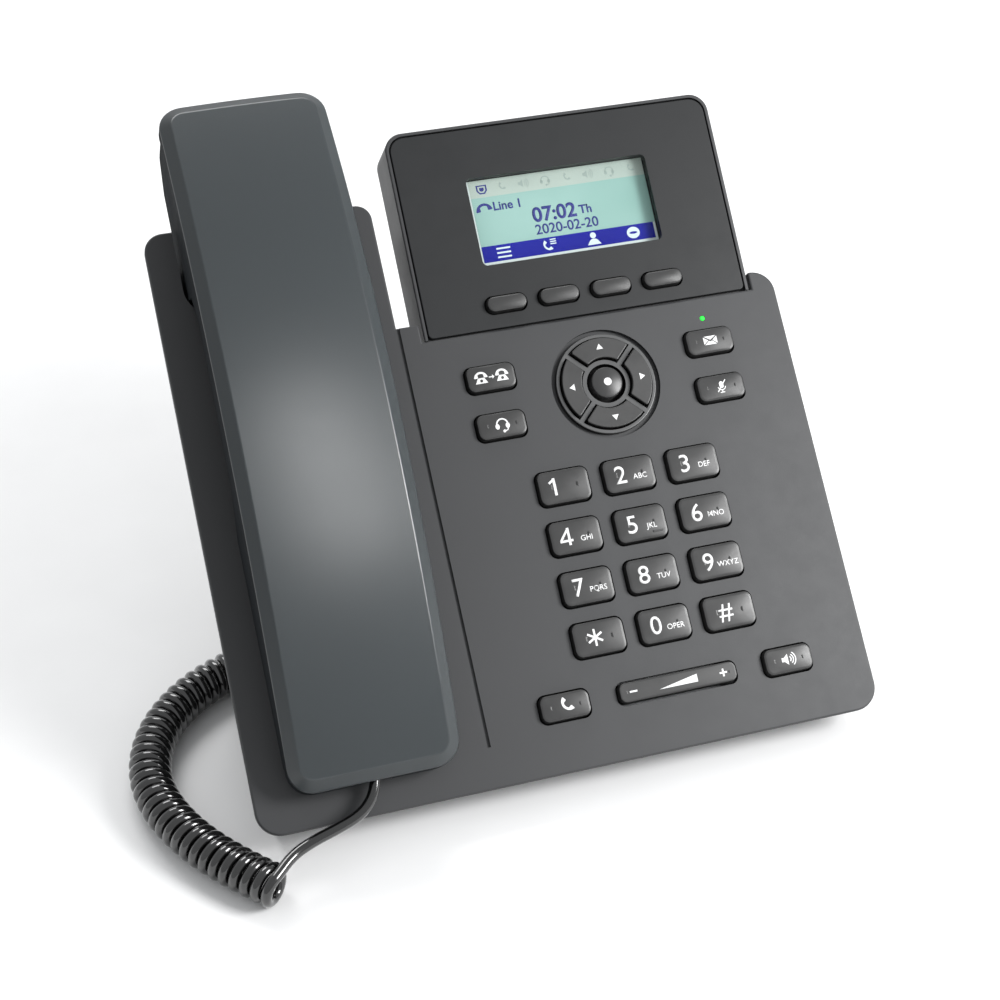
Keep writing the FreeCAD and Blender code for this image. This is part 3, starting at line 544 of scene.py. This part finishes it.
LEAD_ROUTE = [PLATE @ Vector((-57.1, 13.5, 4.6)), PLATE @ Vector((-57.1, 9.0, 4.6))] + [
    table_point(*place) for place in (
        (-59.3, 0.1, 16.8), (-63.2, -2.5, 14.7), (-69.4, -4.2, 13.4), (-76.6, -5.8, 12.4),
        (-83.0, -8.3, 11.4))]
COIL_ROUTE = [table_point(*place) for place in (
    (-86.6, -14.9, 6.0), (-97.4, -4.1, 6.0), (-109.6, 14.0, 6.0), (-115.2, 33.4, 6.0),
    (-110.9, 52.2, 6.0), (-98.0, 67.2, 6.0), (-80.0, 75.8, 6.0), (-62.0, 79.0, 6.0))]
BASE_LEAD_ROUTE = [table_point(*place) for place in (
    (-54.0, 80.4, 6.8), (-47.4, 78.2, 9.4), (-44.0, 72.5, 13.0), (-44.0, 65.0, 13.0))]


def nurbs(points, resolution, bevel=0.0):
    curve = bpy.data.curves.new("route", "CURVE")
    curve.dimensions = "3D"
    curve.bevel_depth = bevel
    curve.bevel_resolution = 4
    curve.use_fill_caps = bevel > 0
    spline = curve.splines.new("NURBS")
    spline.points.add(len(points) - 1)
    for point, place in zip(spline.points, points):
        point.co = (*place, 1)
    spline.order_u = 3
    spline.use_endpoint_u = True
    spline.resolution_u = resolution
    return curve


def along(points, resolution):
    """Points on the NURBS spline of a route, in order."""
    return [vertex.co.copy() for vertex in from_curve(nurbs(points, resolution)).vertices]


def helix(route):
    """Turns round a line, from the top of its start to its end."""
    axis = along(route, 24)
    travelled = [0.0]
    for a, b in zip(axis, axis[1:]):
        travelled.append(travelled[-1] + (b - a).length)
    turns = round(travelled[-1] / (COIL_PITCH * MM))
    steps = turns * TURN_POINTS
    # The spline touches its points' polygon halfway along each side, so the points stand out.
    reach = (COIL - WIRE) / 2 * MM / math.cos(math.pi / TURN_POINTS)
    points = []
    index = 0
    for step in range(JOIN_STEP, steps + 1):
        place = travelled[-1] * step / steps
        while index < len(axis) - 2 and travelled[index + 1] < place:
            index += 1
        ahead = (axis[index + 1] - axis[index]).normalized()
        middle = axis[index] + ahead * (place - travelled[index])
        aside = ahead.cross(Vector((0, 0, 1))).normalized()
        angle = 2 * math.pi * (step - JOIN_STEP) / TURN_POINTS
        points.append(middle + (Vector((0, 0, 1)) * math.cos(angle)
                                - aside * math.sin(angle)) * reach)
    return points


def handset_cord():
    """The cord from the handset's plug through its coil to the socket under the phone's back."""
    line = LEAD_ROUTE + helix(COIL_ROUTE) + BASE_LEAD_ROUTE
    path = along(line, 4)
    mesh = from_curve(nurbs(line, 4, WIRE / 2 * MM))
    mesh.name = "handset_cord"
    cord = bpy.data.objects.new("handset_cord", mesh)
    bpy.context.scene.collection.objects.link(cord)
    mesh.materials.clear()
    mesh.materials.append(MATERIALS["cord"])
    mesh.shade_smooth()
    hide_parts("handset_lead", "curly_cord", "base_lead")
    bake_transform(cord)


# --- keys ---------------------------------------------------------------------------------------
CAP_FACE = 1.65                               # the edge of a key's face, over the plate
KEY_CROWN = 0.45
KEY_SKIRT = -3.6
KEY_LIP = 0.9                                 # how far the skirt's lip stands out
KEY_EDGE = 0.2                                # radius of the rounded edge
KEY_LEAN = 0.2                                # how far the sides lean in
SIDE_LEVELS = 5                               # rings of a key that are below its face
KEY_SIDE_PARTS = 5
KEY_ENDS = 4
KEY_CORNER_SHARE = 0.25                       # the least corner, as a share of a ring's half height
NUMBER_KEY = (15.2, 9.8)
FUNCTION_KEY = (14.4, 7.6)
SOFT_KEY = (12.0, 4.7)
ROCKER = (35.0, 5.8)
ROCKER_CROWN = 0.2
ARROW_FACE = 1.6
SELECT_RADIUS = 4.6
SELECT_EDGE = 0.5                             # radius of the rounded edge
SELECT_RIM = 0.9                              # height at which that edge starts
SELECT_DOME = 0.6
LEGENDS = {
    "key_1": ("1", ""), "key_2": ("2", "ABC"), "key_3": ("3", "DEF"), "key_4": ("4", "GHI"),
    "key_5": ("5", "JKL"), "key_6": ("6", "MNO"), "key_7": ("7", "PQRS"), "key_8": ("8", "TUV"),
    "key_9": ("9", "WXYZ"), "key_star": ("*", ""), "key_0": ("0", "OPER"), "key_hash": ("#", ""),
}


def pillow(size, crown):
    """Height added to a key's face at a place on it: most in the middle, none at the edge."""
    def height(x, y):
        return crown * (1 - (2 * x / size[0]) ** 2) * (1 - (2 * y / size[1]) ** 2)
    return height


def on_key(size, crown=KEY_CROWN):
    """Height of a key's face over the plate at a place on it."""
    height = pillow(size, crown)
    return lambda x, y: CAP_FACE + height(x, y)


def keycap_rings(at, size, corner, crown, lip):
    """Lip, skirt, rounded edge and crowned face of a key."""
    face = on_key(size, crown)
    levels = [(-lip, KEY_SKIRT - 0.1), (-lip, -2.75), (0.0, -2.7), (0.0, -0.1),
              (KEY_LEAN, CAP_FACE - KEY_EDGE - 0.02)]
    levels += [(KEY_LEAN + KEY_EDGE * (1 - math.cos(a)), CAP_FACE - KEY_EDGE * (1 - math.sin(a)))
               for a in (math.radians(step) for step in (0, 25, 50, 75, 90))]
    rim = KEY_LEAN + KEY_EDGE
    inner = min(size) / 2
    levels += [(rim + (inner - rim) * share, None) for share in (0.03, 0.15, 0.3, 0.5, 0.7, 0.85)]
    rings = []
    for inset, w in levels:
        least = KEY_CORNER_SHARE * (inner - inset)
        ring = rounded_ring((size[0] - 2 * inset, size[1] - 2 * inset), max(corner - inset, least),
                            side_parts=KEY_SIDE_PARTS, ends=KEY_ENDS)
        rings.append([(at[0] + x, at[1] + y, face(x, y) if w is None else w) for x, y in ring])
    return rings


def keycap(node, size, corner, crown=KEY_CROWN, matrix=PLATE, lip=KEY_LIP):
    """A key with a grey face; its lip, skirt and sides are black as painted shade."""
    rings = keycap_rings(centre(node, matrix), size, corner, crown, lip)
    mesh = loft(node + "_cap", rings, matrix, upright=True)
    cap = make(node + "_cap", mesh, "key", BODY_OF[node])
    # The lip, skirt and sides take the black: painted shade.
    mesh.materials.append(KEY_SIDE_SHADE)
    for face in mesh.polygons[:SIDE_LEVELS * len(rings[0])]:
        face.material_index = 1
    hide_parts(node)


def legend(node, figures, face):
    """White print on a key of the plate."""
    decal(node + "_legend", figures, centre(node), face, "key", BODY_OF[node], WHITE_INK)


def large_sign(sign):
    """A number key's digit, or its star or hash."""
    if sign == "*":
        return [shifted(stroke([(-2.4, 0), (2.4, 0)], 0.6), -1.3, 0.1, turn)
                for turn in (90, 30, -30)]
    if sign == "#":
        return [shifted(lettering("#", 5.0, 0.02), -1.3, 0.2)]
    if sign == "1":
        upright = stroke([(0.5, -2.5), (0.5, 2.5)], 0.75)
        flag = stroke([(0.6, 2.2), (-1.0, 1.15)], 0.65)
        return [shifted(gathered([upright, flag]), -3.4, 0.1)]
    if sign == "4":
        upright = stroke([(0.75, -2.5), (0.75, 2.5)], 0.7)
        slope = stroke([(0.85, 2.3), (-1.7, -0.9)], 0.6)
        bar = stroke([(-2.0, -1.2), (1.8, -1.2)], 0.65)
        return [shifted(gathered([upright, slope, bar]), -2.9, 0.1)]
    return [shifted(lettering(sign, 5.0, 0.03), -2.8, 0.1)]


def number_keys():
    for node, (sign, letters) in LEGENDS.items():
        keycap(node, NUMBER_KEY, 2.2)
        figures = large_sign(sign)
        if letters:
            figures.append(shifted(lettering(letters, 1.5, 0.02), 2.9, -1.0))
        legend(node, figures, on_key(NUMBER_KEY))
    decal("key_5_pip", [stroke([(3.0, -2.9), (5.9, -2.9)], 0.5)], centre("key_5"),
          on_key(NUMBER_KEY), "key", BODY_OF["key_5"], DARK_INK, thickness=0.3)


def receiver(scale, turn, x=0.0, y=0.0):
    """A handset's outline: two cups on a curved grip."""
    upper = arc(3.0, 152, 28, (0, -1.5), 12)
    lower = arc(2.1, 52, 128, (0, -1.5), 8)
    right = [(3.0, -1.0), (2.8, -1.25), (1.5, -1.25), (1.3, -1.0)]
    left = [(-x, y) for x, y in reversed(right)]
    return shifted(outline(upper + right + lower + left), x, y, turn, scale)


def desk_phone(x):
    body = outline([(-1.8, -1.5), (1.8, -1.5), (0.9, 0.1), (-0.9, 0.1)],
                   arc(0.45, 0, 340, (0, -0.75), 15))
    return [shifted(body, x, 0), receiver(0.66, 0, x, 0.95)]


def transfer_icon():
    shaft = stroke([(-0.7, 0), (0.35, 0)], 0.3)
    head = outline([(0.35, 0.6), (1.0, 0), (0.35, -0.6)])
    arrow = shifted(gathered([shaft, head]), -0.15, 0)
    return desk_phone(-3.1) + [arrow] + desk_phone(3.1)


def headset_icon():
    band = stroke(arc(1.6, 200, -20, (0, 0), 20), 0.42)
    cups = [outline(arc(0.62, 0, 340, (x, -0.5), 15, 1.3)) for x in (-1.5, 1.5)]
    boom = stroke([(1.6, -1.0), (1.3, -1.75), (0.5, -2.0)], 0.3)
    return [band, boom, disc(0.42, (0.3, -2.0))] + cups


def envelope_icon():
    # The flap and folds show as dark gaps between white pieces.
    w, h, gap = 2.6, 1.6, 0.16
    top = outline([(-w + 0.3, h), (w - 0.3, h), (0, 0.15)])
    left = outline([(-w, h - gap * 1.6), (-0.8, 0), (-w, -h + gap * 1.6)])
    right = outline([(w, h - gap * 1.6), (w, -h + gap * 1.6), (0.8, 0)])
    bottom = outline([(-w + 0.3, -h), (-0.6, -0.2), (0, -0.55), (0.6, -0.2), (w - 0.3, -h)])
    return [shifted(gathered([top, left, right, bottom]), 0, 0, scale=0.8)]


def crossed_microphone():
    capsule = outline(arc(0.62, 0, 180, (0, 0.9), 10) + arc(0.62, 180, 360, (0, 0.1), 10))
    cradle = stroke(arc(1.15, 190, 350, (0, 0.1), 14), 0.26)
    stem = stroke([(0, -1.05), (0, -1.7)], 0.26)
    foot = stroke([(-0.7, -1.75), (0.7, -1.75)], 0.26)
    bar = stroke([(1.5, 1.9), (-1.4, -1.5)], 0.3)
    return [capsule, cradle, stem, foot, bar]


def speaker_icon():
    horn = outline([(-2.2, 0.6), (-1.4, 0.6), (-0.3, 1.6), (-0.3, -1.6), (-1.4, -0.6),
                    (-2.2, -0.6)])
    waves = [stroke(arc(radius, 50, -50, (-0.3, 0), 12), 0.3) for radius in (0.9, 1.6, 2.3)]
    return [horn] + waves


def function_keys():
    icons = {
        "transfer_key": transfer_icon(),
        "headset_key": headset_icon(),
        "message_key": envelope_icon(),
        "mute_key": crossed_microphone(),
        "send_key": [receiver(0.75, 128, 0.2, 0.2)],
        "speaker_key": speaker_icon(),
    }
    for node, figures in icons.items():
        keycap(node, FUNCTION_KEY, 2.2)
        legend(node, figures, on_key(FUNCTION_KEY))


def volume_rocker():
    keycap("volume_rocker", ROCKER, 2.0, ROCKER_CROWN, lip=0.0)
    wedge = outline([(-6.0, -1.0), (5.6, -1.0), (5.6, 1.2)])
    minus = stroke([(-14.5, 0), (-12.3, 0)], 0.5)
    plus = [stroke([(12.3, 0), (14.5, 0)], 0.5), stroke([(13.4, -1.1), (13.4, 1.1)], 0.5)]
    legend("volume_rocker", [wedge, minus] + plus, on_key(ROCKER, ROCKER_CROWN))


def soft_keys():
    for index in range(1, 5):
        keycap("soft_key_%d" % index, SOFT_KEY, 2.3, matrix=SCREEN)


def navigation_keys():
    middle = centre("select_key")
    inner = SELECT_RADIUS - SELECT_EDGE

    def dome(reach):
        return SELECT_RIM + SELECT_EDGE + SELECT_DOME * (1 - (reach / inner) ** 2)

    flange = SELECT_RADIUS + 1.2
    levels = [(flange, -4.4), (flange, -3.6), (SELECT_RADIUS, -3.55), (SELECT_RADIUS, SELECT_RIM)]
    levels += [(inner + SELECT_EDGE * math.cos(a), SELECT_RIM + SELECT_EDGE * math.sin(a))
               for a in (math.radians(step) for step in (25, 50, 75))]
    levels += [(inner * share, dome(inner * share)) for share in (0.94, 0.8, 0.62, 0.42, 0.2, 0.05)]
    angles = [2 * math.pi * i / 48 for i in range(48)]
    rings = [[(middle.x + reach * math.cos(a), middle.y + reach * math.sin(a), w) for a in angles]
             for reach, w in levels]
    cap = make("select_key_cap", loft("select_key_cap", rings, PLATE), "key", "select_key")
    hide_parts("select_key")
    decal("select_key_dot", [disc(1.15)], middle, lambda x, y: dome(math.hypot(x, y)), "key",
          "select_key", WHITE_INK)
    for name, turn in (("up", 0), ("left", 90), ("down", 180), ("right", 270)):
        node = "arrow_key_" + name
        mark = shifted(outline([(-1.0, -0.7), (1.0, -0.7), (0, 0.9)]), 0, 0, turn)
        out = Matrix.Rotation(math.radians(turn), 2) @ Vector((0, 10.6))
        decal(node + "_legend", [mark], (middle.x + out.x, middle.y + out.y),
              lambda x, y: ARROW_FACE, "key", node, WHITE_INK)


# --- handset ------------------------------------------------------------------------------------
HANDSET_U = -57.1
HANDSET_V = (8.8, 202.0)
HANDSET_WIDTH = 47.0
HANDSET_CORNER = 7.0
CROWN_V = 110.0
CROWN_W = 30.0
CROWN_RADIUS = 280.0
CROWN_ACROSS = 310.0                          # the cover's slight curve across its width
COVER_HEIGHT = 9.0
BEVEL = (3.2, 2.6)                            # width and drop
BEVEL_SOFTNESS = 0.22                         # how far its two bends reach
COVER_WALL = 2.0
COVER_SIDE_PARTS = 48
COVER_ENDS = 6                                # points across each half of the cover's ends
COVER_CORNER_SHARE = 0.16                     # the least corner, as a share of a ring's half width
COVER_WALL_BANDS = (3, 7)                     # the bands between rings that make its side wall
CORD_NOTCH = (8.6, 7.3)                       # width and top of the notch in the lower end


def handset_cover():
    """The arched cover: side wall, bevel and a face that is crowned both ways, hollow below."""
    middle = sum(HANDSET_V) / 2
    length = HANDSET_V[1] - HANDSET_V[0]

    def ring(inset, drop, across, level=False):
        """Points round the cover. level gives them all the same fall, for a flat middle."""
        reach = HANDSET_WIDTH / 2 - inset
        corner = max(HANDSET_CORNER - inset, COVER_CORNER_SHARE * reach)
        points = []
        for x, y in rounded_ring((2 * reach, length - 2 * inset), corner, 8, COVER_SIDE_PARTS,
                                 COVER_ENDS):
            v = middle + y
            crown = CROWN_W - CROWN_RADIUS + math.sqrt(CROWN_RADIUS ** 2 - (v - CROWN_V) ** 2)
            side = (reach if level else x) ** 2 / (2 * CROWN_ACROSS) if across else 0.0
            points.append((HANDSET_U + x, v, crown - drop - side))
        return points

    width, fall = BEVEL
    soft = BEVEL_SOFTNESS
    slope = fall / width
    levels = [(COVER_WALL + 19, fall + 3.2, False), (COVER_WALL + 1.2, fall + 3.2, False),
              (COVER_WALL, fall + 4.2, False), (COVER_WALL, COVER_HEIGHT, False),
              (0.12, COVER_HEIGHT, False), (0, COVER_HEIGHT - 0.12, False),
              (0, fall + soft + 0.5, True), (0, fall + soft, True)]
    # Each bend of the bevel is a narrow band between two rings that hold the faces flat.
    levels += [(inset, fall - inset * slope, True)
               for inset in (soft, soft + 0.06, width - soft - 0.06, width - soft)]
    levels += [(inset, 0, True)
               for inset in (width + soft, width + soft + 0.08, 4.5, 6.5, 9, 12, 15, 18)]
    levels.append((21, 0, True, True))
    mesh = loft("handset_shell", [ring(*level) for level in levels], PLATE, COVER_ENDS)
    shell = make("handset_shell", mesh, "handset", "handset")
    mesh.materials.append(HANDSET_SIDE_SHADED)
    # The side wall's bands take the dull dark copy: painted shade.
    first, last = (band * len(mesh.vertices) // len(levels) for band in COVER_WALL_BANDS)
    for face in mesh.polygons[first:last]:
        face.material_index = 1
    notch = mesh_of("notch", [(HANDSET_U + x * CORD_NOTCH[0] / 2, v, w) for x in (-1, 1)
                              for v in (0, 14) for w in (-5, CORD_NOTCH[1])],
                    [(0, 1, 3, 2), (4, 6, 7, 5), (0, 4, 5, 1), (2, 3, 7, 6), (0, 2, 6, 4),
                     (1, 5, 7, 3)], PLATE)
    cut_by(shell, notch)
    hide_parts("handset_cover")
    return shell


def cut_by(obj, tool_mesh):
    """Takes a closed mesh's space out of a piece."""
    tool = bpy.data.objects.new("tool", tool_mesh)
    bpy.context.scene.collection.objects.link(tool)
    cut = obj.modifiers.new("cut", "BOOLEAN")
    cut.object = tool
    cut.operation = "DIFFERENCE"
    cut.solver = "EXACT"
    bpy.context.view_layer.update()
    result = bpy.data.meshes.new_from_object(obj.evaluated_get(
        bpy.context.evaluated_depsgraph_get()))
    obj.modifiers.remove(cut)
    obj.data = result
    bpy.data.objects.remove(tool)


# --- display ------------------------------------------------------------------------------------
PICTURE_U = (5.0, 59.5)                       # the lit picture, in the screen's frame
PICTURE_A = (20.1, 45.6)
PICTURE_H = -4.3
PICTURE_WIDTH = PICTURE_U[1] - PICTURE_U[0]
PICTURE_HEIGHT = PICTURE_A[1] - PICTURE_A[0]
PICTURE_BORDER = 0.75
STATUS_BAND = 0.205                           # shares of the picture's height
LABEL_BAR = 0.19
PATCH_CORNER = 0.1


def lit(name, first, second):
    """A patch of the lit display: its pixels and an uneven backlight."""
    made, tree, bsdf = shader(name, 0.6, 0.08)
    where = tree.nodes.new("ShaderNodeTexCoord")
    dots = add_node(tree, "ShaderNodeTexVoronoi", Scale=1 / (0.4 * MM), Randomness=0.0)
    tree.links.new(where.outputs["Object"], dots.inputs["Vector"])
    glow = mixed(tree, ramp(tree, noise(tree, 30.0), 0, 1), first, second)
    tone = mixed(tree, ramp(tree, dots.outputs["Distance"], 0.0, 0.10, (0.3, 0.6)), glow,
                 shade(first, 0.7))
    tree.links.new(tone, bsdf.inputs["Base Color"])
    tree.links.new(tone, bsdf.inputs["Emission Color"])
    bsdf.inputs["Emission Strength"].default_value = 0.12
    return made


def picture_place(across, down):
    """A place in the picture from its shares across from the left and down from the top."""
    return PICTURE_U[0] + across * PICTURE_WIDTH, PICTURE_A[1] - down * PICTURE_HEIGHT


def picture_patch(name, left, right, top, bottom, level, material):
    """A thin sheet over part of the picture, its limits given as shares."""
    (u0, a0), (u1, a1) = picture_place(left, bottom), picture_place(right, top)
    ring = rounded_ring((u1 - u0, a1 - a0), PATCH_CORNER)
    rings = [[((u0 + u1) / 2 + x, (a0 + a1) / 2 + y, PICTURE_H + h) for x, y in ring]
             for h in (level - 0.05, level)]
    make(name, loft(name, rings, SCREEN), "display", "phone_base", material, smooth=False)


def call_icon():
    return [receiver(0.6, 128)]


def display():
    """The lit picture: status band, line, clock, date and the four soft keys' symbols."""
    teal = lit("display_teal", (0.24, 0.41, 0.37), (0.30, 0.48, 0.44))
    grey = lit("display_status", (0.36, 0.44, 0.40), (0.42, 0.50, 0.45))
    blue = lit("display_bar", (0.003, 0.003, 0.22), (0.008, 0.010, 0.30))
    white = lit("display_border", (0.55, 0.63, 0.62), (0.60, 0.68, 0.67))
    navy = printed("display_navy", (0.006, 0.012, 0.20))
    pale = printed("display_pale", (0.55, 0.66, 0.68), 0.25)
    faint = printed("display_faint", (0.27, 0.34, 0.31), 0.2)

    edge_x = PICTURE_BORDER / PICTURE_WIDTH
    edge_y = PICTURE_BORDER / PICTURE_HEIGHT
    bar_top = 1 - edge_y - LABEL_BAR
    picture_patch("display_border", 0, 1, 0, 1, 0.06, white)
    picture_patch("display_status_band", edge_x, 1, 0, STATUS_BAND, 0.12, grey)
    picture_patch("display_picture", edge_x, 1, STATUS_BAND, bar_top, 0.12, teal)
    picture_patch("display_label_bar", edge_x, 1 - edge_x, bar_top, 1 - edge_y, 0.12, blue)

    def ink(name, figures, across, down, material):
        decal(name, figures, picture_place(across, down), lambda x, y: PICTURE_H + 0.13,
              "display", "phone_base", material, SCREEN, 0.03)

    shield = [(-1.6, 1.3), (1.6, 1.3), (1.6, -0.4), (0.8, -1.4), (-0.8, -1.4), (-1.6, -0.4)]
    rim, plug = ([(x * share, y * share) for x, y in shield] for share in (0.72, 0.42))
    ink("display_network_icon", [outline(shield, rim), outline(plug)], 0.082, 0.11, navy)
    marks = []
    for index in range(7):
        figures = (call_icon, speaker_icon, headset_icon)[index % 3]()
        across = (0.195 + 0.122 * index - 0.5) * PICTURE_WIDTH
        marks.append(shifted(gathered(figures), across, 0, scale=0.75))
    ink("display_status_icons", marks, 0.5, 0.105, faint)
    ink("display_line_icon", [receiver(0.85, 8)], 0.072, 0.325, navy)
    ink("display_line_label", [lettering("Line 1", 2.5, 0.08)], 0.205, 0.325, navy)
    ink("display_clock", [lettering("07:02", 4.2, 0.16)], 0.452, 0.495, navy)
    ink("display_day", [lettering("Th", 2.5, 0.08)], 0.628, 0.507, navy)
    ink("display_date", [lettering("2020-02-20", 2.9, 0.06)], 0.507, 0.672, navy)
    bar = bar_top + LABEL_BAR / 2
    ink("display_menu_icon", [stroke([(-2.1, y), (2.1, y)], 0.5) for y in (-1.3, 0.0, 1.3)],
        0.132, bar, pale)
    ink("display_calls_icon", [receiver(0.6, 128, -0.6, -0.2)]
        + [stroke([(0.5, y), (2.3, y)], 0.32) for y in (1.7, 1.05, 0.4)], 0.385, bar, pale)
    shoulders = outline([(-2.1, -1.8), (2.1, -1.8)] + arc(1.7, 25, 155, (0, -1.7), 10))
    ink("display_person_icon", [disc(0.9, (0, 1.0)), shoulders], 0.637, bar, pale)
    badge = outline(arc(2.0, 0, 345, (0, 0), 23, 0.88), arc(1.25, 0, 345, (0, 0), 23, 0.3))
    ink("display_badge_icon", [badge], 0.865, bar, pale)


# --- scene --------------------------------------------------------------------------------------
place_camera()
lay_floor()
handset_cord()
number_keys()
function_keys()
volume_rocker()
soft_keys()
navigation_keys()
light_studio(handset_cover())
display()
